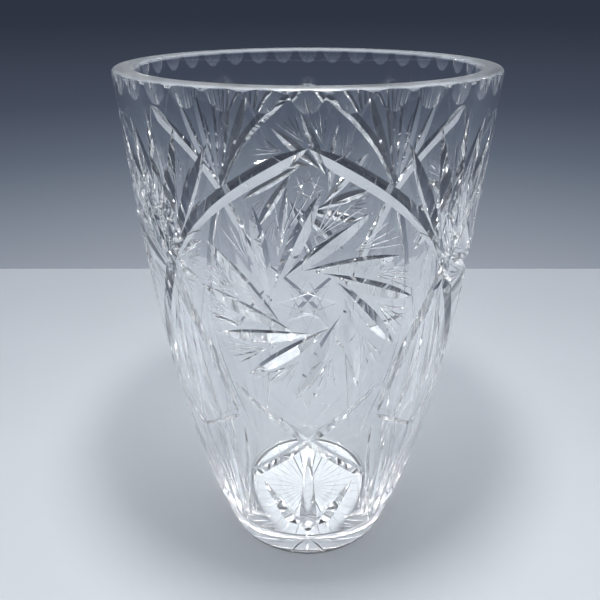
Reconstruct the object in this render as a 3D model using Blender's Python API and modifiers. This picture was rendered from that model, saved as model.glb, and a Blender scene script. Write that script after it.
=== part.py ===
"""Cut crystal vase: one turned glass body with wheel-cut ornament.

Frame: metres, +Z up. The origin is the centre of the foot's underside, and the
middle of the first ornament panel faces -Y. The ornament repeats in four panels.
"""
import math

import bmesh
import bpy
from mathutils import Matrix, Vector
from mathutils.geometry import interpolate_bezier

MM = 0.001

# Body
HEIGHT = 254 * MM
RIM_RADIUS = 83.5 * MM
FOOT_RADIUS = 47.6 * MM
SIDE_HANDLE = 85.6 * MM          # pull of the side's curve at the rim and at the foot
RIM_SLOPE = 0.045                # inward run per unit of height, just under the rim
FOOT_SLOPE = 0.33                # the same, just above the foot
FOOT_BEVEL = 1.6 * MM
FOOT_RECESS_RADIUS = 42 * MM
FOOT_RECESS_DEPTH = 0.6 * MM
RIM_WALL = 9.5 * MM
RIM_OUTER_ROUND = 1.2 * MM
RIM_INNER_ROUND = 2.0 * MM
WAIST_WALL = 10.5 * MM           # wall half way down
FLOOR_HEIGHT = 14 * MM
FLOOR_RADIUS = 34 * MM
FLOOR_CORNER = 6 * MM
BODY_STEPS = 36                  # one step to a scallop
SIDE_POINTS = 12
INSIDE_POINTS = 8
CORNER_POINTS = 3

# Ornament: azimuths in degrees from a panel's middle, heights and lengths in metres
PANELS = 4
PANEL_ANGLE = 360 / PANELS
SCALLOPS = 36
SCALLOP_HEIGHT = 8.5 * MM
SCALLOP_BITE = 1.0 * MM
SCALLOP_SIDES = 24
SCALLOP_LENGTH = 40 * MM
CLEARANCE = 1.5 * MM             # how far a cutter stands out of the glass

ARCH_APEX = (0, 235 * MM)        # azimuth, height
ARCH_CROSSING = (45, 182 * MM)
ARCH_FOOT = (64.8, 112.5 * MM)
ARCH_HANDLES = ((15, 223 * MM), (30, 213 * MM))
SIDE_HANDLES = ((48.5, 168 * MM), (62, 140 * MM))
ARCH_DEPTH = 2.3 * MM
ARCH_STATIONS = 7

CROSS = ((-25.3, 132 * MM), (24.5, 71.6 * MM))
CROSS_DEPTH = 1.2 * MM

PINWHEEL_HEIGHT = 175 * MM
PINWHEEL_VANES = 12
PINWHEEL_RADIUS = 45 * MM
PINWHEEL_EYE = 14.3 * MM
PINWHEEL_TURN = 85               # angle of the first vane's tip
VANE_DEPTH = 2.3 * MM

SPRAY_ROOT = 187 * MM
SPRAY_TIPS = ((-20, 235 * MM), (-10, 239 * MM), (0, 241 * MM), (10, 239 * MM), (20, 235 * MM))
SPRAY_DEPTH = 2.0 * MM

FLUTES = (                       # a flute's top and foot, from the middle between panels
    ((0, 172 * MM), (0, 97 * MM)),
    ((-6, 163 * MM), (-11.8, 102 * MM)), ((6, 163 * MM), (11.8, 102 * MM)),
)
PILLARS = (                      # the same for the facets under the flutes
    ((0, 96 * MM), (0, 12 * MM)),
    ((-12, 103 * MM), (-5, 20 * MM)), ((12, 103 * MM), (5, 20 * MM)),
)
FLUTE_DEPTH = 0.9 * MM

SPIKES = (                       # a spike's tip and its blunt foot, from a panel's middle
    ((-19, 69 * MM), (-5.5, 34 * MM)), ((0.5, 92.5 * MM), (0, 27 * MM)),
    ((19, 69 * MM), (5.5, 34 * MM)),
)
SPIKE_DEPTH = 2.0 * MM

SHARP_WHEEL = math.radians(106)  # included angle of the wheel that cuts the mitres
WIDE_WHEEL = math.radians(134)   # the same for the crossed mitres and the spikes
FLAT_WHEEL = math.radians(156)   # the same for the flutes
CUT_STATIONS = 4

GLASS_COLOUR = (0.93, 0.95, 0.97, 1)


def clear_scene():
    for item in list(bpy.data.objects):
        bpy.data.objects.remove(item, do_unlink=True)


def collection(name):
    group = bpy.data.collections.new(name)
    bpy.context.scene.collection.children.link(group)
    return group


def side_curve(points):
    """Points down the outer side, from the rim to the foot, as (radius, height)."""
    rim = Vector((RIM_RADIUS, HEIGHT))
    rim_handle = Vector((RIM_RADIUS - RIM_SLOPE * SIDE_HANDLE, HEIGHT - SIDE_HANDLE))
    foot_handle = Vector((FOOT_RADIUS + FOOT_SLOPE * SIDE_HANDLE, SIDE_HANDLE))
    foot = Vector((FOOT_RADIUS, 0))
    return interpolate_bezier(rim, rim_handle, foot_handle, foot, points)


SIDE_TABLE = side_curve(400)


def side_radius(height):
    """Radius of the outer side at a height."""
    for upper, lower in zip(SIDE_TABLE, SIDE_TABLE[1:]):
        if lower.y <= height:
            share = (height - lower.y) / (upper.y - lower.y)
            return lower.x + share * (upper.x - lower.x)
    return FOOT_RADIUS


def side_slope(height):
    step = 1 * MM
    return (side_radius(height + step) - side_radius(height - step)) / (2 * step)


def wall(height):
    """Wall thickness at a height: even at the top, heavier towards the floor."""
    drop = (HEIGHT - height) / HEIGHT
    return RIM_WALL + 4 * (WAIST_WALL - RIM_WALL) * drop * drop


def arc(centre_radius, centre_height, radius, start, end, points):
    """Points of a round, as (radius, height); angles in degrees from +X."""
    angles = [math.radians(start + (end - start) * i / points) for i in range(points + 1)]
    return [(centre_radius + radius * math.cos(a), centre_height + radius * math.sin(a))
            for a in angles]


def body_outline():
    """The whole section at +X, down the outer side and up the inside."""
    inner_rim = RIM_RADIUS - RIM_WALL
    rim_in = arc(inner_rim + RIM_INNER_ROUND, HEIGHT - RIM_INNER_ROUND, RIM_INNER_ROUND,
                 180, 90, CORNER_POINTS)
    rim_out = arc(RIM_RADIUS - RIM_OUTER_ROUND, HEIGHT - RIM_OUTER_ROUND, RIM_OUTER_ROUND,
                  90, 0, CORNER_POINTS)
    side = [(p.x, p.y) for p in side_curve(SIDE_POINTS)[1:-1]]
    foot = [(side_radius(FOOT_BEVEL), FOOT_BEVEL),
            (FOOT_RADIUS - FOOT_BEVEL, 0),
            (FOOT_RECESS_RADIUS, 0),
            (FOOT_RECESS_RADIUS - FOOT_BEVEL, FOOT_RECESS_DEPTH),
            (0, FOOT_RECESS_DEPTH)]
    floor = [(0, FLOOR_HEIGHT)]
    corner = arc(FLOOR_RADIUS, FLOOR_HEIGHT + FLOOR_CORNER, FLOOR_CORNER,
                 -90, -15, CORNER_POINTS)
    low = corner[-1][1] + FLOOR_CORNER
    high = HEIGHT - RIM_INNER_ROUND
    inside = []
    for i in range(INSIDE_POINTS):
        height = low + (high - low) * i / INSIDE_POINTS
        inside.append((side_radius(height) - wall(height), height))
    return rim_in + rim_out + side + foot + floor + corner + inside


def turned(name, outline, steps, group):
    """An outline turned about Z by a Screw modifier, with flats facing the panels."""
    shape = bmesh.new()
    verts = [shape.verts.new((radius, 0, height)) for radius, height in outline]
    for first, second in zip(verts, verts[1:]):
        shape.edges.new((first, second))
    if outline[0][0] > 0 and outline[-1][0] > 0:
        shape.edges.new((verts[-1], verts[0]))
    mesh = bpy.data.meshes.new(name)
    shape.to_mesh(mesh)
    shape.free()
    body = bpy.data.objects.new(name, mesh)
    body.rotation_euler.z = math.pi / steps
    group.objects.link(body)
    screw = body.modifiers.new("Turning", "SCREW")
    screw.axis = "Z"
    screw.steps = steps
    screw.render_steps = steps
    screw.use_merge_vertices = True
    screw.merge_threshold = 0.00001
    screw.use_smooth_shade = True
    return body


def on_side(azimuth, height):
    """Place and outward normal on the outer side; azimuth in degrees from -Y to +X."""
    angle = math.radians(azimuth)
    out = Vector((math.sin(angle), -math.cos(angle), 0))
    normal = (out - Vector((0, 0, side_slope(height)))).normalized()
    return out * side_radius(height) + Vector((0, 0, height)), normal


def straight(start, end, stations):
    """Even steps between two (azimuth, height) places."""
    shares = [i / stations for i in range(stations + 1)]
    return [(start[0] + (end[0] - start[0]) * s, start[1] + (end[1] - start[1]) * s)
            for s in shares]


def lens(share, lean):
    """Depth of a cut along its length, 0 at both ends and 1 where it is deepest."""
    eased = share ** lean
    return 4 * eased * (1 - eased)


def cutter(name, path, depths, wheel, group):
    """A wheel's V groove along a path on the side: a loft of triangles of many sizes."""
    half = math.tan(wheel / 2)
    places = [on_side(*place) for place in path]
    shape = bmesh.new()
    rings = []
    for i, (point, normal) in enumerate(places):
        ahead = places[min(i + 1, len(places) - 1)][0] - places[max(i - 1, 0)][0]
        across = ahead.cross(normal).normalized()
        reach = (depths[i] + CLEARANCE) * half
        top = point + normal * CLEARANCE
        corners = (point - normal * depths[i], top + across * reach, top - across * reach)
        rings.append([shape.verts.new(corner) for corner in corners])
    for ring, following in zip(rings, rings[1:]):
        for i in range(3):
            j = (i + 1) % 3
            shape.faces.new((ring[i], ring[j], following[j], following[i]))
    shape.faces.new(list(reversed(rings[0])))
    shape.faces.new(rings[-1])
    bmesh.ops.recalc_face_normals(shape, faces=shape.faces)
    mesh = bpy.data.meshes.new(name)
    shape.to_mesh(mesh)
    shape.free()
    wheel_cut = bpy.data.objects.new(name, mesh)
    wheel_cut.hide_render = True
    wheel_cut.display_type = "WIRE"
    group.objects.link(wheel_cut)
    return wheel_cut


def mitre(name, start, end, depth, wheel, group, lean=1.0):
    path = straight(start, end, CUT_STATIONS)
    depths = [depth * lens(i / CUT_STATIONS, lean) for i in range(CUT_STATIONS + 1)]
    return cutter(name, path, depths, wheel, group)


def arches(panel, group):
    """Two long mitres from the apex, over the crossing and round the column's side."""
    flat = [ARCH_APEX, *ARCH_HANDLES, ARCH_CROSSING]
    first = interpolate_bezier(*[Vector(p) for p in flat], ARCH_STATIONS)
    flat = [ARCH_CROSSING, *SIDE_HANDLES, ARCH_FOOT]
    second = interpolate_bezier(*[Vector(p) for p in flat], ARCH_STATIONS)
    route = first + second[1:]
    depths = []
    for i in range(len(route)):
        share = i / (len(route) - 1)
        depths.append(ARCH_DEPTH * min(1, 0.35 + 4 * share, 5 * (1 - share)))
    for side in (-1, 1):
        path = [(panel + side * place.x, place.y) for place in route]
        cutter(f"arch_{panel:.0f}_{side}", path, depths, SHARP_WHEEL, group)


def cross(panel, group):
    """Two straight mitres that cross over the panel's lower window."""
    (upper, top), (lower, foot) = CROSS
    for side in (-1, 1):
        mitre(f"cross_{panel:.0f}_{side}", (panel + side * upper, top),
              (panel + side * lower, foot), CROSS_DEPTH, WIDE_WHEEL, group)


def pinwheel_place(panel, radius, angle):
    """A place on the side at a polar position about the pinwheel's centre."""
    turn = math.radians(angle)
    height = PINWHEEL_HEIGHT + radius * math.sin(turn)
    across = radius * math.cos(turn)
    return panel + math.degrees(across / side_radius(height)), height


def pinwheel(panel, group):
    """Straight vanes that touch the eye's circle and whirl clockwise to their tips."""
    lead = math.degrees(math.acos(PINWHEEL_EYE / PINWHEEL_RADIUS))
    for vane in range(PINWHEEL_VANES):
        tip_angle = PINWHEEL_TURN + vane * 360 / PINWHEEL_VANES
        inner = pinwheel_place(panel, PINWHEEL_EYE, tip_angle + lead)
        tip = pinwheel_place(panel, PINWHEEL_RADIUS, tip_angle)
        mitre(f"vane_{panel:.0f}_{vane}", inner, tip, VANE_DEPTH, SHARP_WHEEL, group, 1.15)


def pillar(corner, group):
    """The cuts between two panels: spray, flutes and the pillar down to the foot."""
    for i, (azimuth, tip) in enumerate(SPRAY_TIPS):
        root = (corner + azimuth / 10, SPRAY_ROOT)
        mitre(f"spray_{corner:.0f}_{i}", root, (corner + azimuth, tip), SPRAY_DEPTH,
              SHARP_WHEEL, group, 1.1)
    for i, ((top_azimuth, top), (foot_azimuth, foot)) in enumerate(FLUTES + PILLARS):
        mitre(f"flute_{corner:.0f}_{i}", (corner + top_azimuth, top),
              (corner + foot_azimuth, foot), FLUTE_DEPTH, FLAT_WHEEL, group)


def spikes(panel, group):
    """Three pointed mitres that rise from the foot into the panel's window."""
    for i, ((tip_azimuth, tip), (foot_azimuth, foot)) in enumerate(SPIKES):
        mitre(f"spike_{panel:.0f}_{i}", (panel + tip_azimuth, tip),
              (panel + foot_azimuth, foot), SPIKE_DEPTH, WIDE_WHEEL, group, 1.4)


def scallops(group):
    """Thumb cuts round the rim's outer edge, each ground with a leaning drum."""
    width = 2 * RIM_RADIUS * math.sin(math.pi / SCALLOPS)
    drum = width * width / (8 * SCALLOP_BITE)
    lean = math.atan(SCALLOP_BITE / SCALLOP_HEIGHT - RIM_SLOPE)
    for i in range(SCALLOPS):
        azimuth = i * 2 * math.pi / SCALLOPS
        bpy.ops.mesh.primitive_cylinder_add(vertices=SCALLOP_SIDES, radius=drum,
                                            depth=SCALLOP_LENGTH)
        thumb = bpy.context.object
        thumb.name = f"scallop_{i}"
        offset = RIM_RADIUS + drum - SCALLOP_BITE
        place = Matrix.Rotation(azimuth, 4, "Z") @ Matrix.Translation((0, -offset, HEIGHT))
        thumb.matrix_world = place @ Matrix.Rotation(-lean, 4, "X")
        thumb.hide_render = True
        thumb.display_type = "WIRE"
        for owner in list(thumb.users_collection):
            owner.objects.unlink(thumb)
        group.objects.link(thumb)


def crystal():
    """The clear glass of the whole vase."""
    glass = bpy.data.materials.new("clear_crystal")
    glass.use_nodes = True
    shader = glass.node_tree.nodes["Principled BSDF"]
    shader.inputs["Base Color"].default_value = GLASS_COLOUR
    shader.inputs["Roughness"].default_value = 0.03
    shader.inputs["Metallic"].default_value = 0.0
    shader.inputs["IOR"].default_value = 1.55
    shader.inputs["Transmission Weight"].default_value = 0.9
    return glass


def main():
    clear_scene()
    parts = collection("cut_crystal_vase")
    cutters = collection("cutters")
    vase = turned("vase", body_outline(), BODY_STEPS, parts)
    vase.data.materials.append(crystal())
    scallops(cutters)
    for i in range(PANELS):
        panel = i * PANEL_ANGLE
        arches(panel, cutters)
        cross(panel, cutters)
        pinwheel(panel, cutters)
        pillar(panel + PANEL_ANGLE / 2, cutters)
        spikes(panel, cutters)
    grinding = vase.modifiers.new("Wheel cuts", "BOOLEAN")
    grinding.operation = "DIFFERENCE"
    grinding.operand_type = "COLLECTION"
    grinding.collection = cutters
    grinding.solver = "EXACT"
    grinding.use_self = False


main()
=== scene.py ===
"""Looks of the cut crystal vase: the finely ground glass, its stage and its camera.

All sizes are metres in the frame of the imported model: +Z up, the foot's underside at
Z 0, and the middle of one ornament panel towards -Y. An azimuth is in degrees from
-Y towards +X, and a panel's own azimuths are counted from its middle.
"""
import math

import bmesh
import bpy
import numpy as np
from mathutils import Matrix, Vector
from mathutils.geometry import interpolate_bezier


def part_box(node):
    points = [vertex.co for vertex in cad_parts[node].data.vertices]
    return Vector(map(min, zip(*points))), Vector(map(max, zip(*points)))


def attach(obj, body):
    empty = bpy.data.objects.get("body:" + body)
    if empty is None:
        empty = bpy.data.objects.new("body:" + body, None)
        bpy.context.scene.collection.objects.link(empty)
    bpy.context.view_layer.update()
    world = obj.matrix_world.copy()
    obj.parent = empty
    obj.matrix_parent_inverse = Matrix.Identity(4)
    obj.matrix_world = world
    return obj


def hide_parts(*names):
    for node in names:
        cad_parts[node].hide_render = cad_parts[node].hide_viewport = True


bl_info = {
    "name": "Cut crystal vase",
    "version": (1, 0, 0),
    "blender": (4, 5, 0),
    "location": "3D View > Sidebar > Vase",
    "description": "Turns, grinds and stages a cut crystal vase around its packed model",
    "category": "Object",
}

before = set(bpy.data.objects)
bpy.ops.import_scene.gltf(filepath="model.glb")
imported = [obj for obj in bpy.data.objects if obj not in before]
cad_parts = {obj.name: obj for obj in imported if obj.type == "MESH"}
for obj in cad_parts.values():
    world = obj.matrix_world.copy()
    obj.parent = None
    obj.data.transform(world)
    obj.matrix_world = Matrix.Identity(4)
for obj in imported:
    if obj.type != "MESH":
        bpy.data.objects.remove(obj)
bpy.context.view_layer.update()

MM = 0.001
NODE = "vase"
BODY = "root"
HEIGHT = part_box(NODE)[1][2]

# The side's curve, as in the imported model
RIM_SLOPE = 0.045                    # radius gained for each unit of height, at the rim
FOOT_SLOPE = 0.33                    # and at the foot
SIDE_HANDLE = 85.6 * MM              # height of each end's pull on the curve
SIDE_SAMPLES = 2000


# ---------------------------------------------------------------- settings

class BlankSettings(bpy.types.PropertyGroup):
    rim_radius: bpy.props.FloatProperty(
        name="Rim radius", description="Outer radius at the rim", default=83.5 * MM, unit="LENGTH")
    foot_radius: bpy.props.FloatProperty(
        name="Foot radius", description="Outer radius at the foot", default=47.6 * MM, unit="LENGTH")
    rim_wall: bpy.props.FloatProperty(
        name="Rim wall", description="Wall thickness at the rim", default=9.5 * MM, unit="LENGTH")
    waist_wall: bpy.props.FloatProperty(
        name="Waist wall", description="Wall thickness half way down", default=10.5 * MM,
        unit="LENGTH")
    rim_outer_round: bpy.props.FloatProperty(
        name="Rim outer round", description="Radius of the rim's outer edge", default=1.8 * MM,
        unit="LENGTH")
    rim_inner_round: bpy.props.FloatProperty(
        name="Rim inner round", description="Radius of the rim's inner edge", default=2.0 * MM,
        unit="LENGTH")
    floor_height: bpy.props.FloatProperty(
        name="Floor height", description="Thickness of the solid base", default=14 * MM,
        unit="LENGTH")
    floor_radius: bpy.props.FloatProperty(
        name="Floor radius", description="Flat part of the inside's floor", default=34 * MM,
        unit="LENGTH")
    floor_corner: bpy.props.FloatProperty(
        name="Floor corner", description="Round between floor and inner wall", default=6 * MM,
        unit="LENGTH")
    foot_bevel: bpy.props.FloatProperty(
        name="Foot bevel", description="Bevel on the foot's edge", default=1.6 * MM,
        unit="LENGTH")
    recess_radius: bpy.props.FloatProperty(
        name="Recess radius", description="Hollow under the foot", default=42 * MM,
        unit="LENGTH")
    recess_depth: bpy.props.FloatProperty(
        name="Recess depth", description="Depth of the hollow under the foot",
        default=0.6 * MM, unit="LENGTH")
    steps: bpy.props.IntProperty(
        name="Steps", description="Faces round the turned glass", default=240, min=36)
    side_rows: bpy.props.IntProperty(
        name="Side rows", description="Rows of faces up the outer side", default=80, min=10)
    inside_rows: bpy.props.IntProperty(
        name="Inside rows", description="Rows of faces up the inside", default=36, min=8)


class OrnamentSettings(bpy.types.PropertyGroup):
    panels: bpy.props.IntProperty(
        name="Panels", description="Pinwheel panels round the vase", default=4, min=2)
    scallops: bpy.props.IntProperty(
        name="Scallops", description="Thumb cuts round the rim", default=36, min=8)
    scallop_height: bpy.props.FloatProperty(
        name="Scallop height", description="Reach of a thumb cut below the rim",
        default=8.5 * MM, unit="LENGTH")
    scallop_bite: bpy.props.FloatProperty(
        name="Scallop bite", description="Depth of a thumb cut at the rim", default=0.62 * MM,
        unit="LENGTH")
    arch_depth: bpy.props.FloatProperty(
        name="Arch depth", description="Depth of the long arched mitres", default=2.4 * MM,
        unit="LENGTH")
    pinwheel_height: bpy.props.FloatProperty(
        name="Pinwheel height", description="Height of the pinwheel's centre",
        default=175 * MM, unit="LENGTH")
    pinwheel_radius: bpy.props.FloatProperty(
        name="Pinwheel radius", description="Distance of a vane's tip from the centre",
        default=45 * MM, unit="LENGTH")
    eye_radius: bpy.props.FloatProperty(
        name="Eye radius", description="Circle that the vanes touch", default=14.3 * MM,
        unit="LENGTH")
    star_radius: bpy.props.FloatProperty(
        name="Star radius", description="Points of the star in the eye", default=11.2 * MM,
        unit="LENGTH")
    pinwheel_turn: bpy.props.FloatProperty(
        name="Pinwheel turn", description="Turns every pinwheel about its centre",
        default=0, subtype="ANGLE")
    vane_depth: bpy.props.FloatProperty(
        name="Vane depth", description="Deepest point of a vane", default=2.4 * MM,
        unit="LENGTH")
    base_rays: bpy.props.IntProperty(
        name="Base rays", description="Rays of the star under the foot", default=32, min=6)


class StageSettings(bpy.types.PropertyGroup):
    table_width: bpy.props.FloatProperty(
        name="Table width", description="Width of the pale table top", default=1.5,
        unit="LENGTH")
    table_back: bpy.props.FloatProperty(
        name="Table back", description="Distance from the vase's axis to the back edge",
        default=0.349, unit="LENGTH")
    table_front: bpy.props.FloatProperty(
        name="Table front", description="Distance from the vase's axis to the front edge",
        default=0.75, unit="LENGTH")
    table_colour: bpy.props.FloatVectorProperty(
        name="Table colour", description="Colour of the table top", subtype="COLOR",
        default=(0.58, 0.61, 0.645))
    lamp_place: bpy.props.FloatVectorProperty(
        name="Lamp place", description="Middle of the round lamp", subtype="TRANSLATION",
        default=(0.002, -0.085, 0.528), unit="LENGTH")
    lamp_size: bpy.props.FloatProperty(
        name="Lamp size", description="Width of the round lamp", default=0.06, unit="LENGTH")
    lamp_power: bpy.props.FloatProperty(
        name="Lamp power", description="Power of the lamp", default=1.55, unit="POWER")


# ---------------------------------------------------------------- the outer side

def outer_side(blank):
    """Heights and radii down the outer side's curve, as rising heights for np.interp."""
    rim = Vector((blank.rim_radius, HEIGHT))
    rim_pull = Vector((blank.rim_radius - RIM_SLOPE * SIDE_HANDLE, HEIGHT - SIDE_HANDLE))
    foot_pull = Vector((blank.foot_radius + FOOT_SLOPE * SIDE_HANDLE, SIDE_HANDLE))
    foot = Vector((blank.foot_radius, 0))
    points = np.array(interpolate_bezier(foot, foot_pull, rim_pull, rim, SIDE_SAMPLES))
    return points[:, 1], points[:, 0]


class Side:
    """The vase's outer side before it is cut, as a surface to lay cuts on."""

    def __init__(self, blank):
        self.heights, self.radii = outer_side(blank)
        self.slopes = np.gradient(self.radii, self.heights)

    def radius(self, height):
        """The side's radius at a height."""
        return float(np.interp(height, self.heights, self.radii))

    def place(self, azimuth, height):
        """A point on the side and the direction that it faces."""
        angle = math.radians(azimuth)
        out = Vector((math.sin(angle), -math.cos(angle), 0))
        slope = float(np.interp(height, self.heights, self.slopes))
        facing = (out - Vector((0, 0, slope))).normalized()
        return out * self.radius(height) + Vector((0, 0, height)), facing


# ---------------------------------------------------------------- the turned blank

RIM_INNER_POINTS = 8                 # steps along each round of the section
RIM_OUTER_POINTS = 5
FOOT_POINTS = 5
FLOOR_POINTS = 12
FLOOR_CORNER_END = -15               # where the floor's round meets the wall, in degrees
SETTLE_RATE = 9                      # how fast the wall settles into its own curve


def round_corner(centre_radius, centre_height, radius, start, end, points):
    """A round in the section, as (radius, height) points; angles in degrees from +X."""
    turns = [math.radians(start + (end - start) * i / points) for i in range(points + 1)]
    return [(centre_radius + radius * math.cos(t), centre_height + radius * math.sin(t))
            for t in turns]


def inner_radius(blank, side, height):
    """The inside's radius: the wall thickens downwards, to the waist wall half way down."""
    drop = (HEIGHT - height) / HEIGHT
    wall = blank.rim_wall + 4 * (blank.waist_wall - blank.rim_wall) * drop * drop
    return side.radius(height) - wall


def blank_outline(blank, side):
    """The section at +X, from the inner rim over the outside to the axis and back up."""
    inner_rim = blank.rim_radius - blank.rim_wall
    outline = round_corner(inner_rim + blank.rim_inner_round, HEIGHT - blank.rim_inner_round,
                           blank.rim_inner_round, 180, 90, RIM_INNER_POINTS)
    outline += round_corner(blank.rim_radius - blank.rim_outer_round,
                            HEIGHT - blank.rim_outer_round, blank.rim_outer_round, 90, 0,
                            RIM_OUTER_POINTS)
    top = HEIGHT - 2 * blank.rim_outer_round
    for i in range(blank.side_rows):
        height = top + (blank.foot_bevel - top) * i / blank.side_rows
        outline.append((side.radius(height), height))
    outline += round_corner(side.radius(blank.foot_bevel) - blank.foot_bevel, blank.foot_bevel,
                            blank.foot_bevel, 0, -90, FOOT_POINTS)
    recess = blank.recess_radius
    outline += [(recess, 0), (recess - blank.foot_bevel, blank.recess_depth),
                (recess / 2, blank.recess_depth), (0, blank.recess_depth)]
    outline += [(0, blank.floor_height), (blank.floor_radius / 2, blank.floor_height)]
    corner = round_corner(blank.floor_radius, blank.floor_height + blank.floor_corner,
                          blank.floor_corner, -90, FLOOR_CORNER_END, FLOOR_POINTS)
    outline += corner
    # The inner wall leaves the corner smoothly and has met its own curve after a blend
    low = corner[-1][1]
    high = HEIGHT - blank.rim_inner_round
    leaving = corner[-1][0] - inner_radius(blank, side, low)
    for i in range(1, blank.inside_rows):
        share = i / blank.inside_rows
        height = low + (high - low) * share
        settle = leaving * math.exp(-share * SETTLE_RATE)
        outline.append((inner_radius(blank, side, height) + settle, height))
    return outline


MERGE_DISTANCE = 0.01 * MM


def turn(name, outline, steps):
    """A closed section turned about Z with a Screw modifier, welded where it meets the axis."""
    section = bmesh.new()
    verts = [section.verts.new((radius, 0, height)) for radius, height in outline]
    for first, second in zip(verts, verts[1:] + verts[:1]):
        if first.co.x > 0 or second.co.x > 0:
            section.edges.new((first, second))
    mesh = bpy.data.meshes.new(name)
    section.to_mesh(mesh)
    section.free()
    turned = bpy.data.objects.new(name, mesh)
    bpy.context.scene.collection.objects.link(turned)
    screw = turned.modifiers.new("Turning", "SCREW")
    screw.axis = "Z"
    screw.steps = steps
    screw.render_steps = steps
    screw.use_merge_vertices = True
    screw.merge_threshold = MERGE_DISTANCE
    return turned


# ---------------------------------------------------------------- marking out the cuts

LEAST_DEPTH = 0.02 * MM              # keeps a cut's ends from having no width
LEAST_STATIONS = 6


class Lines:
    """Cut lines for one wheel: chains of points with a depth, a facing and a number."""

    def __init__(self, spacing):
        self.spacing = spacing
        self.points, self.edges, self.depths, self.facings, self.numbers = [], [], [], [], []
        self.count = 0

    def add(self, places, depths):
        """One more cut, from (point, facing) places and a depth for each."""
        first = len(self.points)
        for (point, facing), depth in zip(places, depths):
            self.points.append(point)
            self.facings.append(facing)
            self.depths.append(max(depth, LEAST_DEPTH))
            self.numbers.append(self.count)
        self.edges += [(i, i + 1) for i in range(first, len(self.points) - 1)]
        self.count += 1

    def to_object(self, name):
        """The cuts as an object of bare edges, with their numbers as point attributes."""
        mesh = bpy.data.meshes.new(name)
        mesh.from_pydata(self.points, self.edges, [])
        depth = mesh.attributes.new("depth", "FLOAT", "POINT")
        depth.data.foreach_set("value", self.depths)
        facing = mesh.attributes.new("facing", "FLOAT_VECTOR", "POINT")
        facing.data.foreach_set("vector", np.array(self.facings).ravel())
        number = mesh.attributes.new("cut", "INT", "POINT")
        number.data.foreach_set("value", self.numbers)
        marked = bpy.data.objects.new(name, mesh)
        bpy.context.scene.collection.objects.link(marked)
        marked.hide_render = True
        return marked


def lens(share, peak=0.5):
    """Depth along a wheel's press: 0 at the ends, 1 at the peak."""
    share = share / peak / 2 if share < peak else 0.5 + (share - peak) / (1 - peak) / 2
    return 4 * share * (1 - share)


def cut(lines, side, start, end, depth_at):
    """One straight cut between two (azimuth, height) places."""
    length = (side.place(*start)[0] - side.place(*end)[0]).length
    stations = max(LEAST_STATIONS, round(length / lines.spacing))
    shares = [i / stations for i in range(stations + 1)]
    places = [side.place(start[0] + (end[0] - start[0]) * s, start[1] + (end[1] - start[1]) * s)
              for s in shares]
    lines.add(places, [depth_at(share) for share in shares])


def press(lines, side, start, end, depth, peak=0.5):
    """One straight cut that tapers to both ends and is deepest at the peak."""
    cut(lines, side, start, end, lambda share: depth * lens(share, peak))


# A route's points are (azimuth, height) handles, from one end to the other
ARCH_TOP = ((0, 235 * MM), (15, 223 * MM), (30, 213 * MM), (45, 182 * MM))
ARCH_SIDE = ((45, 182 * MM), (48.5, 168 * MM), (62, 140 * MM), (64.8, 112.5 * MM))
CURVE_STATIONS = 40
CROSS = ((-25.3, 132 * MM), (24.5, 71.6 * MM))
CROSS_DEPTH = 1.2 * MM
LEAD_POWER = 0.7                     # under 1, so that a wheel sinks in fast and then slows


def level_run(share, lead_in, lead_out):
    """Depth along a long cut: the wheel sinks in, runs level and lifts out."""
    return min(1, (share / lead_in) ** LEAD_POWER, ((1 - share) / lead_out) ** LEAD_POWER)


def mark_arches(lines, side, cuts):
    """Two long mitres from a panel's apex, over the crossing and down beside the column."""
    route = interpolate_bezier(*[Vector(p) for p in ARCH_TOP], CURVE_STATIONS)
    route += interpolate_bezier(*[Vector(p) for p in ARCH_SIDE], CURVE_STATIONS)[1:]
    shares = [i / (len(route) - 1) for i in range(len(route))]
    depths = [cuts.arch_depth * level_run(s, 0.08, 0.16) for s in shares]
    for way in (-1, 1):
        lines.add([side.place(way * place.x, place.y) for place in route], depths)


def mark_cross(lines, side):
    """Two straight mitres that cross over the panel's lower window."""
    (upper, top), (lower, foot) = CROSS
    for way in (-1, 1):
        cut(lines, side, (way * upper, top), (way * lower, foot),
            lambda share: CROSS_DEPTH * level_run(share, 0.45, 0.06))


def about_pinwheel(side, cuts, radius, angle):
    """The (azimuth, height) at a polar position about the pinwheel's centre."""
    height = cuts.pinwheel_height + radius * math.sin(angle)
    across = radius * math.cos(angle)
    return math.degrees(across / side.radius(height)), height


VANES = (                            # cut by hand: direction of a tip, and its reach
    (84, 1.0), (57, 0.97), (25, 0.9), (356, 1.0), (327, 0.98), (296, 1.08),
    (264, 1.09), (236, 1.0), (206, 0.94), (176, 1.0), (150, 1.03), (117, 1.0),
)
VANE_PEAK = 0.55                     # where a cut is deepest, as a share of its length
FAN_LEADS = (5, 10.5, 16, 21.5)      # degrees from a vane's tip to the fan's outer ends
FAN_ROOT_LEAD = 27                   # and to the point that the fan spreads from
FAN_ROOT = 28 * MM
FAN_REACH = 0.975                    # outer ends, as a share of the pinwheel's radius
FAN_DEPTH = 0.4 * MM
FAN_PEAK = 0.6
STAR_POINTS = 8
STAR_SKIP = 3                        # each cut joins a point to the third one after it
STAR_DEPTH = 0.35 * MM


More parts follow.
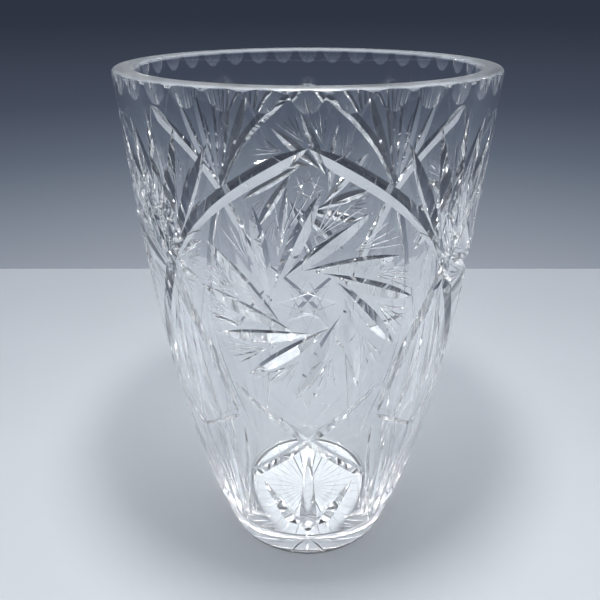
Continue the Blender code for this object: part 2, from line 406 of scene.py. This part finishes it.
def mark_pinwheel(broad, fine, side, cuts):
    """Vanes that touch the eye's circle, a fan of fine cuts at each, and the star."""
    lead = math.acos(cuts.eye_radius / cuts.pinwheel_radius)
    for direction, reach in VANES:
        tip_turn = cuts.pinwheel_turn + math.radians(direction)
        inner = about_pinwheel(side, cuts, cuts.eye_radius, tip_turn + lead)
        tip = about_pinwheel(side, cuts, cuts.pinwheel_radius * reach, tip_turn)
        press(broad, side, inner, tip, cuts.vane_depth, VANE_PEAK)
        root = about_pinwheel(side, cuts, FAN_ROOT, tip_turn + math.radians(FAN_ROOT_LEAD))
        for fan_lead in FAN_LEADS:
            end = about_pinwheel(side, cuts, cuts.pinwheel_radius * FAN_REACH,
                                 tip_turn + math.radians(fan_lead))
            press(fine, side, root, end, FAN_DEPTH, FAN_PEAK)
    for i in range(STAR_POINTS):
        start = 2 * math.pi * i / STAR_POINTS
        end = start + 2 * math.pi * STAR_SKIP / STAR_POINTS
        press(fine, side, about_pinwheel(side, cuts, cuts.star_radius, start),
              about_pinwheel(side, cuts, cuts.star_radius, end), STAR_DEPTH)


SPRAY_ROOT = 186 * MM
SPRAY_TIPS = ((-20, 235 * MM), (-10, 239 * MM), (0, 241 * MM), (10, 239 * MM), (20, 235 * MM))
SPRAY_DEPTH = 2.2 * MM
SPRAY_PEAK = 0.55
SPRAY_GATHER = 0.1                   # how wide the spray is at its root, to its tips' width
LEAF_AZIMUTHS = (-5, 5)
LEAF_SPAN = (202 * MM, 224 * MM)
LEAF_DEPTH = 1.5 * MM
LEAF_GATHER = 0.5
FLUTES = (                           # under the crossing: a flute's top and its foot
    ((0, 172 * MM), (0, 97 * MM)),
    ((-6, 163 * MM), (-11.8, 102 * MM)), ((6, 163 * MM), (11.8, 102 * MM)),
)
FLUTE_DEPTH = 0.8 * MM
STEP = ((0, 94 * MM), (20.5, 112.5 * MM))   # the slant that ends the flutes, each way
STEP_DEPTH = 0.9 * MM
PILLARS = (                          # under the step: a pillar facet's top and its foot
    ((0, 96 * MM), (0, 12 * MM)),
    ((-12, 103 * MM), (-5, 20 * MM)), ((12, 103 * MM), (5, 20 * MM)),
)
PILLAR_DEPTH = 0.8 * MM
WINDOW_EDGE = ((21.5, 108 * MM), (21.6, 80 * MM), (17, 52 * MM), (5.5, 17 * MM))
WINDOW_EDGE_DEPTH = 0.9 * MM
SPIKES = (                           # a spike's tip and its blunt foot
    ((-19, 69 * MM), (-5.5, 34 * MM)), ((0.5, 92.5 * MM), (0, 27 * MM)),
    ((19, 69 * MM), (5.5, 34 * MM)),
)
SPIKE_DEPTH = 2.0 * MM


def mark_corner(broad, hollow, side, corner):
    """Between two panels: the spray over the crossing and the column under it."""
    for azimuth, tip in SPRAY_TIPS:
        press(broad, side, (corner + azimuth * SPRAY_GATHER, SPRAY_ROOT),
              (corner + azimuth, tip), SPRAY_DEPTH, SPRAY_PEAK)
    low, high = LEAF_SPAN
    for azimuth in LEAF_AZIMUTHS:
        press(broad, side, (corner + azimuth * LEAF_GATHER, low), (corner + azimuth, high),
              LEAF_DEPTH)
    for facets, depth in ((FLUTES, FLUTE_DEPTH), (PILLARS, PILLAR_DEPTH)):
        for (top_azimuth, top), (foot_azimuth, foot) in facets:
            press(hollow, side, (corner + top_azimuth, top), (corner + foot_azimuth, foot), depth)
    edge = interpolate_bezier(*[Vector(p) for p in WINDOW_EDGE], CURVE_STATIONS)
    shares = [i / (len(edge) - 1) for i in range(len(edge))]
    for way in (-1, 1):
        (low_azimuth, low), (high_azimuth, high) = STEP
        cut(broad, side, (corner + way * low_azimuth, low), (corner + way * high_azimuth, high),
            lambda share: STEP_DEPTH * level_run(share, 0.1, 0.2))
        broad.add([side.place(corner + way * place.x, place.y) for place in edge],
                  [WINDOW_EDGE_DEPTH * level_run(share, 0.3, 0.3) for share in shares])


def mark_spikes(wide, side):
    """Three pointed cuts that rise from the foot into the panel's lower window."""
    for tip, foot in SPIKES:
        cut(wide, side, tip, foot, lambda share: SPIKE_DEPTH * level_run(share, 0.75, 0.12))


BASE_RAY = (1.5 * MM, 42 * MM)       # its inner and outer ends, from the vase's axis
BASE_RAY_DEPTH = 0.4 * MM
BASE_RAY_PEAK = 0.6
BASE_RAY_STATIONS = 14


def mark_base_ray(lines, blank):
    """One ray of the star under the foot."""
    shares = [i / BASE_RAY_STATIONS for i in range(BASE_RAY_STATIONS + 1)]
    inner, outer = BASE_RAY
    down = Vector((0, 0, -1))
    places = []
    for share in shares:
        reach = inner + (outer - inner) * share
        height = blank.recess_depth if reach < blank.recess_radius else 0
        places.append((Vector((0, -reach, height)), down))
    lines.add(places, [BASE_RAY_DEPTH * lens(share, BASE_RAY_PEAK) for share in shares])


# ---------------------------------------------------------------- grinding

WHEEL_LIP = 1.0                      # how far a wheel stands out, in depths of its cut
BROAD_WHEEL = math.radians(106)      # the angle between the two sides of a wheel's edge
FINE_WHEEL = math.radians(88)
WIDE_WHEEL = math.radians(134)
ROUND_WHEEL = math.radians(156)
ROUND_STEPS = 4                      # faces on each half of the round wheel's edge
BROAD_SPACING = 2.5 * MM             # between the stations along each wheel's cuts
FINE_SPACING = 2 * MM
WIDE_SPACING = 3 * MM
ROUND_SPACING = 4 * MM
BASE_SPACING = 3 * MM
COPY_LIMIT = 64                      # more than any wheel's cuts are repeated


def wheel_edge(name, angle, half_steps=1):
    """A wheel's edge as a closed outline, one deep; +X points out of the glass.

    One half step makes a V, and more make a rounded edge of the same width.
    """
    reach = (1 + WHEEL_LIP) * math.tan(angle / 2)
    shares = [i / half_steps for i in range(-half_steps, half_steps + 1)]
    edge_points = [((1 + WHEEL_LIP) * share * share - 1, -reach * share, 0) for share in shares]
    count = len(edge_points)
    mesh = bpy.data.meshes.new(name)
    mesh.from_pydata(edge_points, [(i, (i + 1) % count) for i in range(count)], [])
    edge = bpy.data.objects.new(name, mesh)
    bpy.context.scene.collection.objects.link(edge)
    edge.hide_render = True
    return edge


def new_tree(name, sockets):
    """An empty Geometry Nodes tree with geometry in and out and some named inputs."""
    tree = bpy.data.node_groups.new(name, "GeometryNodeTree")
    tree.interface.new_socket("Geometry", in_out="INPUT", socket_type="NodeSocketGeometry")
    for label, kind in sockets:
        tree.interface.new_socket(label, in_out="INPUT", socket_type=kind)
    tree.interface.new_socket("Geometry", in_out="OUTPUT", socket_type="NodeSocketGeometry")
    return tree


def named(tree, kind, label):
    """A node that reads a named attribute."""
    node = tree.nodes.new("GeometryNodeInputNamedAttribute")
    node.data_type = kind
    node.inputs["Name"].default_value = label
    return node.outputs["Attribute"]


def finish_tree(tree, group_in, geometry):
    """Realize Instances and Set Material, then the tree's output."""
    realize = tree.nodes.new("GeometryNodeRealizeInstances")
    material = tree.nodes.new("GeometryNodeSetMaterial")
    group_out = tree.nodes.new("NodeGroupOutput")
    tree.links.new(geometry, realize.inputs["Geometry"])
    tree.links.new(realize.outputs["Geometry"], material.inputs["Geometry"])
    tree.links.new(group_in.outputs["Glass"], material.inputs["Material"])
    tree.links.new(material.outputs["Geometry"], group_out.inputs["Geometry"])


def turned_copies(tree, geometry, count):
    """Copies of a geometry turned evenly about Z, as instances numbered in "copy"."""
    link, new = tree.links.new, tree.nodes.new
    points = new("GeometryNodePoints")
    link(count, points.inputs["Count"])
    index = new("GeometryNodeInputIndex")
    step = new("ShaderNodeMath")
    step.operation = "DIVIDE"
    step.inputs[0].default_value = 2 * math.pi
    link(count, step.inputs[1])
    turn_by = new("ShaderNodeMath")
    turn_by.operation = "MULTIPLY"
    link(index.outputs[0], turn_by.inputs[0])
    link(step.outputs[0], turn_by.inputs[1])
    rotation = new("ShaderNodeCombineXYZ")
    link(turn_by.outputs[0], rotation.inputs["Z"])
    copies = new("GeometryNodeInstanceOnPoints")
    link(points.outputs["Points"], copies.inputs["Points"])
    link(geometry, copies.inputs["Instance"])
    link(rotation.outputs[0], copies.inputs["Rotation"])
    store = new("GeometryNodeStoreNamedAttribute")
    store.data_type = "INT"
    store.domain = "INSTANCE"
    store.inputs["Name"].default_value = "copy"
    link(copies.outputs["Instances"], store.inputs["Geometry"])
    link(index.outputs[0], store.inputs["Value"])
    return store.outputs["Geometry"]


SLIVER_FACES = 8                     # an island with fewer faces is a sliver of no volume


def without_slivers(tree, geometry):
    """The geometry less the few-faced islands that grinding can leave behind."""
    link, new = tree.links.new, tree.nodes.new
    island = new("GeometryNodeInputMeshIsland")
    faces = new("GeometryNodeAccumulateField")
    faces.data_type = "INT"
    faces.domain = "FACE"
    faces.inputs["Value"].default_value = 1
    link(island.outputs["Island Index"], faces.inputs["Group ID"])
    small = new("FunctionNodeCompare")
    small.data_type = "INT"
    small.operation = "LESS_THAN"
    link(faces.outputs["Total"], small.inputs["A"])
    small.inputs["B"].default_value = SLIVER_FACES
    remove = new("GeometryNodeDeleteGeometry")
    remove.domain = "FACE"
    link(geometry, remove.inputs["Geometry"])
    link(small.outputs["Result"], remove.inputs["Selection"])
    return remove.outputs["Geometry"]


def groove_tree():
    """Sweeps a wheel's edge along cut lines, repeats them and takes them off the glass."""
    tree = new_tree("Wheel grooves", (
        ("Lines", "NodeSocketObject"), ("Wheel", "NodeSocketObject"),
        ("Copies", "NodeSocketInt"), ("Glass", "NodeSocketMaterial")))
    link, new = tree.links.new, tree.nodes.new
    group_in = new("NodeGroupInput")
    lines = new("GeometryNodeObjectInfo")
    link(group_in.outputs["Lines"], lines.inputs["Object"])
    wheel = new("GeometryNodeObjectInfo")
    link(group_in.outputs["Wheel"], wheel.inputs["Object"])
    route = new("GeometryNodeMeshToCurve")
    link(lines.outputs["Geometry"], route.inputs["Mesh"])
    edge = new("GeometryNodeMeshToCurve")
    link(wheel.outputs["Geometry"], edge.inputs["Mesh"])
    facing = new("GeometryNodeSetCurveNormal")
    facing.mode = "FREE"
    link(route.outputs["Curve"], facing.inputs["Curve"])
    link(named(tree, "FLOAT_VECTOR", "facing"), facing.inputs["Normal"])
    sweep = new("GeometryNodeCurveToMesh")
    sweep.inputs["Fill Caps"].default_value = True
    link(facing.outputs["Curve"], sweep.inputs["Curve"])
    link(edge.outputs["Curve"], sweep.inputs["Profile Curve"])
    link(named(tree, "FLOAT", "depth"), sweep.inputs["Scale"])
    copies = turned_copies(tree, sweep.outputs["Mesh"], group_in.outputs["Copies"])
    realize = new("GeometryNodeRealizeInstances")
    link(copies, realize.inputs["Geometry"])
    # Each cut of each copy becomes its own cutter, because cutters may cross
    number = new("ShaderNodeMath")
    number.operation = "MULTIPLY_ADD"
    number.inputs[1].default_value = COPY_LIMIT
    link(named(tree, "INT", "cut"), number.inputs[0])
    link(named(tree, "INT", "copy"), number.inputs[2])
    split = new("GeometryNodeSplitToInstances")
    split.domain = "FACE"
    link(realize.outputs["Geometry"], split.inputs["Geometry"])
    link(number.outputs[0], split.inputs["Group ID"])
    grind = new("GeometryNodeMeshBoolean")
    grind.operation = "DIFFERENCE"
    grind.solver = "MANIFOLD"
    link(group_in.outputs["Geometry"], grind.inputs["Mesh 1"])
    link(split.outputs["Instances"], grind.inputs["Mesh 2"])
    finish_tree(tree, group_in, without_slivers(tree, grind.outputs["Mesh"]))
    return tree


def scallop_tree():
    """Repeats the thumb wheel round the rim and takes the copies off the glass."""
    tree = new_tree("Rim scallops", (
        ("Wheel", "NodeSocketObject"), ("Copies", "NodeSocketInt"),
        ("Glass", "NodeSocketMaterial")))
    link, new = tree.links.new, tree.nodes.new
    group_in = new("NodeGroupInput")
    wheel = new("GeometryNodeObjectInfo")
    link(group_in.outputs["Wheel"], wheel.inputs["Object"])
    copies = turned_copies(tree, wheel.outputs["Geometry"], group_in.outputs["Copies"])
    grind = new("GeometryNodeMeshBoolean")
    grind.operation = "DIFFERENCE"
    grind.solver = "MANIFOLD"
    link(group_in.outputs["Geometry"], grind.inputs["Mesh 1"])
    link(copies, grind.inputs["Mesh 2"])
    finish_tree(tree, group_in, grind.outputs["Mesh"])
    return tree


def add_nodes(piece, tree, values):
    """A Geometry Nodes modifier with its inputs set by their sockets' identifiers."""
    modifier = piece.modifiers.new(tree.name, "NODES")
    modifier.node_group = tree
    for item in tree.interface.items_tree:
        if item.item_type == "SOCKET" and item.in_out == "INPUT" and item.name in values:
            modifier[item.identifier] = values[item.name]
    return modifier


THUMB_REACH = 12 * MM                # how far the thumb wheel stands out of the glass
THUMB_SEGMENTS = 120
THUMB_RINGS = 60


def thumb_wheel(blank, cuts):
    """The barrel-shaped wheel that grinds one scallop, in its place at azimuth 0."""
    width = 2 * blank.rim_radius * math.sin(math.pi / cuts.scallops)
    across = math.sqrt(width * width / (8 * cuts.scallop_bite) * THUMB_REACH)
    up = math.sqrt(cuts.scallop_height ** 2 / (2 * cuts.scallop_bite) * THUMB_REACH)
    shape = bmesh.new()
    bmesh.ops.create_uvsphere(shape, u_segments=THUMB_SEGMENTS, v_segments=THUMB_RINGS, radius=1)
    shape.transform(Matrix.Rotation(math.pi / 2, 4, "X"))
    shape.transform(Matrix.Diagonal((across, THUMB_REACH, up, 1)))
    shift = Matrix.Translation(
        (0, cuts.scallop_bite - blank.rim_radius - THUMB_REACH, HEIGHT))
    shape.transform(shift @ Matrix.Rotation(math.atan(RIM_SLOPE), 4, "X"))
    mesh = bpy.data.meshes.new("thumb_wheel")
    shape.to_mesh(mesh)
    shape.free()
    wheel = bpy.data.objects.new("thumb_wheel", mesh)
    bpy.context.scene.collection.objects.link(wheel)
    wheel.hide_render = True
    return wheel


def baked(piece):
    """The piece's evaluated mesh, put in place of its own, with no modifiers left."""
    graph = bpy.context.evaluated_depsgraph_get()
    mesh = bpy.data.meshes.new_from_object(piece.evaluated_get(graph))
    piece.modifiers.clear()
    piece.data = mesh
    return mesh


# ---------------------------------------------------------------- polish

FACET_ANGLE = math.radians(9)
ON_SIDE = 0.03 * MM                  # how near to the turned side its own faces lie
SAME_WAY = math.cos(math.radians(3))


WORN = "worn"
WORN_LEVEL = 0.7                     # a worn face lies flat, so its normal's Z is over this
WORN_AT_RIM = 0.6 * MM
WORN_AT_FOOT = 0.2 * MM


def is_worn(face):
    """Whether a face is part of the rim's ground top or the foot's worn ring."""
    height = face.center.z
    at_an_end = height > HEIGHT - WORN_AT_RIM or height < WORN_AT_FOOT
    return at_an_end and abs(face.normal.z) > WORN_LEVEL


def mark_worn(mesh):
    """A face attribute: 1 where the glass is worn, else 0."""
    worn = mesh.attributes.new(WORN, "FLOAT", "FACE")
    worn.data.foreach_set("value", [float(is_worn(face)) for face in mesh.polygons])


def polish(mesh, side):
    """Keeps facet edges crisp and gives what is left of the turned side its true curve."""
    mesh.shade_smooth()
    mesh.set_sharp_from_angle(angle=FACET_ANGLE)
    points = np.empty(len(mesh.vertices) * 3)
    mesh.vertices.foreach_get("co", points)
    points = points.reshape(-1, 3)
    reach = np.hypot(points[:, 0], points[:, 1])
    off = np.abs(reach - np.interp(points[:, 2], side.heights, side.radii))
    slope = np.interp(points[:, 2], side.heights, side.slopes)
    true = np.stack((points[:, 0] / np.maximum(reach, 1e-6),
                     points[:, 1] / np.maximum(reach, 1e-6), -slope), axis=1)
    true /= np.linalg.norm(true, axis=1, keepdims=True)
    normals = [(0, 0, 0)] * len(mesh.loops)
    for face in mesh.polygons:
        corners = list(face.vertices)
        if off[corners].max() > ON_SIDE:
            continue
        way = np.array(face.normal)
        if (true[corners] @ way).min() < SAME_WAY:
            continue
        for loop, corner in zip(face.loop_indices, corners):
            normals[loop] = tuple(true[corner])
    mesh.normals_split_custom_set(normals)


# ---------------------------------------------------------------- materials

GRAZING = 0.9                        # facing value from which no lamp light passes
HEAD_ON = 0.45                       # facing value up to which the most passes
LIGHT_PASSED = 0.65


def let_light_through(glass, shader):
    """Lamp light passes where it meets the glass head on and is lost where it grazes it."""
    nodes, link = glass.node_tree.nodes, glass.node_tree.links.new
    facing = nodes.new("ShaderNodeLayerWeight")
    facing.inputs["Blend"].default_value = 0.5
    passing = nodes.new("ShaderNodeMapRange")
    passing.inputs["From Min"].default_value = GRAZING
    passing.inputs["From Max"].default_value = HEAD_ON
    passing.inputs["To Min"].default_value = 0.0
    passing.inputs["To Max"].default_value = LIGHT_PASSED
    link(facing.outputs["Facing"], passing.inputs["Value"])
    clear = nodes.new("ShaderNodeBsdfTransparent")
    link(passing.outputs["Result"], clear.inputs["Color"])
    path = nodes.new("ShaderNodeLightPath")
    mix = nodes.new("ShaderNodeMixShader")
    link(path.outputs["Is Shadow Ray"], mix.inputs["Fac"])
    link(shader.outputs["BSDF"], mix.inputs[1])
    link(clear.outputs["BSDF"], mix.inputs[2])
    link(mix.outputs["Shader"], nodes["Material Output"].inputs["Surface"])


CRYSTAL_COLOUR = (0.985, 0.993, 1.0)
CRYSTAL_IOR = 1.55
HAZE_ROUGHNESS = 0.03
WORN_ROUGHNESS = 0.32


def crystal():
    """Clear lead crystal: polished, with a faint handling haze, and satin where worn."""
    glass = bpy.data.materials.new("clear_crystal")
    glass.use_nodes = True
    nodes, link = glass.node_tree.nodes, glass.node_tree.links.new
    shader = nodes["Principled BSDF"]
    shader.inputs["Base Color"].default_value = (*CRYSTAL_COLOUR, 1)
    shader.inputs["IOR"].default_value = CRYSTAL_IOR
    shader.inputs["Transmission Weight"].default_value = 1.0
    place = nodes.new("ShaderNodeTexCoord")
    haze = nodes.new("ShaderNodeTexNoise")
    haze.inputs["Scale"].default_value = 28
    haze.inputs["Detail"].default_value = 5
    link(place.outputs["Object"], haze.inputs["Vector"])
    rough = nodes.new("ShaderNodeMapRange")
    rough.inputs["From Min"].default_value = 0.45
    rough.inputs["From Max"].default_value = 0.75
    rough.inputs["To Min"].default_value = 0.0
    rough.inputs["To Max"].default_value = HAZE_ROUGHNESS
    link(haze.outputs["Fac"], rough.inputs["Value"])
    worn = nodes.new("ShaderNodeAttribute")
    worn.attribute_name = WORN
    satin = nodes.new("ShaderNodeMix")
    link(worn.outputs["Fac"], satin.inputs["Factor"])
    link(rough.outputs["Result"], satin.inputs["A"])
    satin.inputs["B"].default_value = WORN_ROUGHNESS
    link(satin.outputs["Result"], shader.inputs["Roughness"])
    let_light_through(glass, shader)
    return glass


MOTTLE_DARKEST = 0.97                # the mottle's dark parts, as a share of the colour


def table_paint(colour):
    """The pale table top: satin laminate with a faint mottle."""
    paint = bpy.data.materials.new("pale_table_top")
    paint.use_nodes = True
    nodes, link = paint.node_tree.nodes, paint.node_tree.links.new
    shader = nodes["Principled BSDF"]
    shader.inputs["Roughness"].default_value = 0.6
    shader.inputs["Specular IOR Level"].default_value = 0.15
    place = nodes.new("ShaderNodeTexCoord")
    mottle = nodes.new("ShaderNodeTexNoise")
    mottle.inputs["Scale"].default_value = 9
    mottle.inputs["Detail"].default_value = 3
    link(place.outputs["Object"], mottle.inputs["Vector"])
    shade = nodes.new("ShaderNodeValToRGB")
    shade.color_ramp.elements[0].position = 0.3
    shade.color_ramp.elements[0].color = (*[MOTTLE_DARKEST * c for c in colour], 1)
    shade.color_ramp.elements[1].position = 0.7
    shade.color_ramp.elements[1].color = (*colour, 1)
    link(mottle.outputs["Fac"], shade.inputs["Fac"])
    link(shade.outputs["Color"], shader.inputs["Base Color"])
    return paint


# ---------------------------------------------------------------- stage

BACKDROP = (                         # elevation in degrees and colour, from below to above
    (-90, (0.45, 0.49, 0.55)),
    (-24, (0.33, 0.365, 0.425)),
    (-17.5, (0.205, 0.235, 0.287)),
    (-12.8, (0.112, 0.136, 0.181)),
    (-8.4, (0.061, 0.074, 0.11)),
    (-2, (0.028, 0.035, 0.053)),
    (30, (0.03, 0.035, 0.05)),
    (52, (0.50, 0.52, 0.56)),
    (64, (1.9, 1.95, 2.05)),
    (90, (2.1, 2.15, 2.25)),
)
CAMERA_PLACE = (0, -283.4 * MM, 280.7 * MM)
CAMERA_PITCH = math.radians(27)
CAMERA_LENS = 36
CAMERA_SENSOR = 36
CAMERA_SHIFT = -0.013
CAMERA_NEAREST = 10 * MM


def backdrop():
    """A backdrop that darkens upwards and is bright overhead, the same all the way round."""
    world = bpy.data.worlds.new("studio_backdrop")
    bpy.context.scene.world = world
    world.use_nodes = True
    nodes, link = world.node_tree.nodes, world.node_tree.links.new
    place = nodes.new("ShaderNodeTexCoord")
    parts = nodes.new("ShaderNodeSeparateXYZ")
    link(place.outputs["Generated"], parts.inputs["Vector"])
    rise = nodes.new("ShaderNodeMath")
    rise.operation = "ARCSINE"
    link(parts.outputs["Z"], rise.inputs[0])
    share = nodes.new("ShaderNodeMapRange")
    share.inputs["From Min"].default_value = -math.pi / 2
    share.inputs["From Max"].default_value = math.pi / 2
    link(rise.outputs[0], share.inputs["Value"])
    ramp = nodes.new("ShaderNodeValToRGB")
    stops = ramp.color_ramp.elements
    while len(stops) < len(BACKDROP):
        stops.new(0.5)
    for stop, (elevation, colour) in zip(stops, BACKDROP):
        stop.position = (elevation + 90) / 180
        stop.color = (*colour, 1)
    link(share.outputs["Result"], ramp.inputs["Fac"])
    link(ramp.outputs["Color"], nodes["Background"].inputs["Color"])


TABLE_THICKNESS = 24 * MM
TABLE_EDGE = 3 * MM
TABLE_SHARP = math.radians(30)


def table_top(stage):
    """A table top with rounded edges, its top at Z 0."""
    depth = stage.table_back + stage.table_front
    shape = bmesh.new()
    bmesh.ops.create_cube(shape, size=1)
    shape.transform(Matrix.Translation((0, stage.table_back - depth / 2, -TABLE_THICKNESS / 2))
                    @ Matrix.Diagonal((stage.table_width, depth, TABLE_THICKNESS, 1)))
    bmesh.ops.bevel(shape, geom=shape.edges[:], offset=TABLE_EDGE, segments=4, profile=0.5,
                    affect="EDGES")
    mesh = bpy.data.meshes.new("table_top")
    shape.to_mesh(mesh)
    shape.free()
    mesh.shade_smooth()
    mesh.set_sharp_from_angle(angle=TABLE_SHARP)
    mesh.materials.append(table_paint(stage.table_colour))
    top = bpy.data.objects.new("table_top", mesh)
    bpy.context.scene.collection.objects.link(top)
    return top


LAMP_COLOUR = (1.0, 0.99, 0.97)


def lamp(stage):
    """A small round lamp over the vase, a little in front of it."""
    light = bpy.data.lights.new("overhead_lamp", "AREA")
    light.shape = "DISK"
    light.size = stage.lamp_size
    light.energy = stage.lamp_power
    light.color = LAMP_COLOUR
    holder = bpy.data.objects.new("overhead_lamp", light)
    holder.location = stage.lamp_place
    bpy.context.scene.collection.objects.link(holder)


def camera():
    """The camera in front of the vase, looking down at it."""
    lens_data = bpy.data.cameras.new("camera")
    lens_data.lens = CAMERA_LENS
    lens_data.sensor_width = CAMERA_SENSOR
    lens_data.shift_x = CAMERA_SHIFT
    lens_data.clip_start = CAMERA_NEAREST
    holder = bpy.data.objects.new("camera", lens_data)
    holder.location = CAMERA_PLACE
    holder.rotation_euler = (math.pi / 2 - CAMERA_PITCH, 0, 0)
    bpy.context.scene.collection.objects.link(holder)
    bpy.context.scene.camera = holder


# ---------------------------------------------------------------- operators

LIGHT_BOUNCES = 32                   # light turns many times inside cut glass
CLEAR_BOUNCES = 24


class VASE_OT_stage(bpy.types.Operator):
    """Make the backdrop, table top, lamp and camera"""
    bl_idname = "vase.stage"
    bl_label = "Set the stage"

    def execute(self, context):
        settings = context.scene.vase_stage
        backdrop()
        table_top(settings)
        lamp(settings)
        camera()
        context.scene.view_settings.view_transform = "Standard"
        light_paths = context.scene.cycles
        light_paths.max_bounces = LIGHT_BOUNCES
        light_paths.transmission_bounces = LIGHT_BOUNCES
        light_paths.glossy_bounces = LIGHT_BOUNCES
        light_paths.transparent_max_bounces = CLEAR_BOUNCES
        light_paths.sample_clamp_indirect = 0
        return {"FINISHED"}


class VASE_OT_glass(bpy.types.Operator):
    """Turn the blank, mark out the ornament, grind it and polish it"""
    bl_idname = "vase.glass"
    bl_label = "Grind the vase"

    def execute(self, context):
        blank, cuts = context.scene.vase_blank, context.scene.vase_ornament
        side = Side(blank)
        vase = turn("crystal_vase", blank_outline(blank, side), blank.steps)
        glass = crystal()
        broad, fine, wide = Lines(BROAD_SPACING), Lines(FINE_SPACING), Lines(WIDE_SPACING)
        hollow, base = Lines(ROUND_SPACING), Lines(BASE_SPACING)
        mark_arches(broad, side, cuts)
        mark_cross(wide, side)
        mark_pinwheel(broad, fine, side, cuts)
        mark_corner(broad, hollow, side, 180 / cuts.panels)
        mark_spikes(wide, side)
        mark_base_ray(base, blank)
        thumb = thumb_wheel(blank, cuts)
        helpers = [thumb]
        add_nodes(vase, scallop_tree(), {
            "Wheel": thumb, "Copies": cuts.scallops, "Glass": glass})
        grooves = groove_tree()
        for name, lines, angle, half_steps, copies in (
                ("flutes", hollow, ROUND_WHEEL, ROUND_STEPS, cuts.panels),
                ("wide_mitres", wide, WIDE_WHEEL, 1, cuts.panels),
                ("mitres", broad, BROAD_WHEEL, 1, cuts.panels),
                ("fine_cuts", fine, FINE_WHEEL, 1, cuts.panels),
                ("base_star", base, FINE_WHEEL, 1, cuts.base_rays)):
            marked = lines.to_object(name + "_lines")
            wheel = wheel_edge(name + "_wheel", angle, half_steps)
            helpers += [marked, wheel]
            add_nodes(vase, grooves, {
                "Lines": marked, "Wheel": wheel, "Copies": copies, "Glass": glass})
        mesh = baked(vase)
        if len(mesh.polygons) < blank.steps * blank.side_rows / 2:
            raise RuntimeError("the grinding left too little of the vase")
        for helper in helpers:
            bpy.data.objects.remove(helper, do_unlink=True)
        mesh.materials.clear()
        mesh.materials.append(glass)
        mark_worn(mesh)
        polish(mesh, side)
        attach(vase, BODY)
        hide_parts(NODE)
        return {"FINISHED"}


class VASE_PT_panel(bpy.types.Panel):
    """Lists the vase's steps"""
    bl_idname = "VASE_PT_panel"
    bl_label = "Cut crystal vase"
    bl_space_type = "VIEW_3D"
    bl_region_type = "UI"
    bl_category = "Vase"

    def draw(self, context):
        for operator in OPERATORS:
            self.layout.operator(operator.bl_idname)
        for settings in (context.scene.vase_blank, context.scene.vase_ornament,
                         context.scene.vase_stage):
            box = self.layout.box()
            for name in settings.__annotations__:
                box.prop(settings, name)


SETTINGS = (("vase_blank", BlankSettings), ("vase_ornament", OrnamentSettings),
            ("vase_stage", StageSettings))
OPERATORS = (VASE_OT_stage, VASE_OT_glass)


def register():
    for name, group in SETTINGS:
        bpy.utils.register_class(group)
        setattr(bpy.types.Scene, name, bpy.props.PointerProperty(type=group))
    for operator in OPERATORS:
        bpy.utils.register_class(operator)
    bpy.utils.register_class(VASE_PT_panel)


def unregister():
    bpy.utils.unregister_class(VASE_PT_panel)
    for operator in reversed(OPERATORS):
        bpy.utils.unregister_class(operator)
    for name, group in reversed(SETTINGS):
        delattr(bpy.types.Scene, name)
        bpy.utils.unregister_class(group)


def main():
    """Makes the stage and the vase."""
    register()
    bpy.ops.vase.stage()
    bpy.ops.vase.glass()


if __name__ == "__main__":
    main()
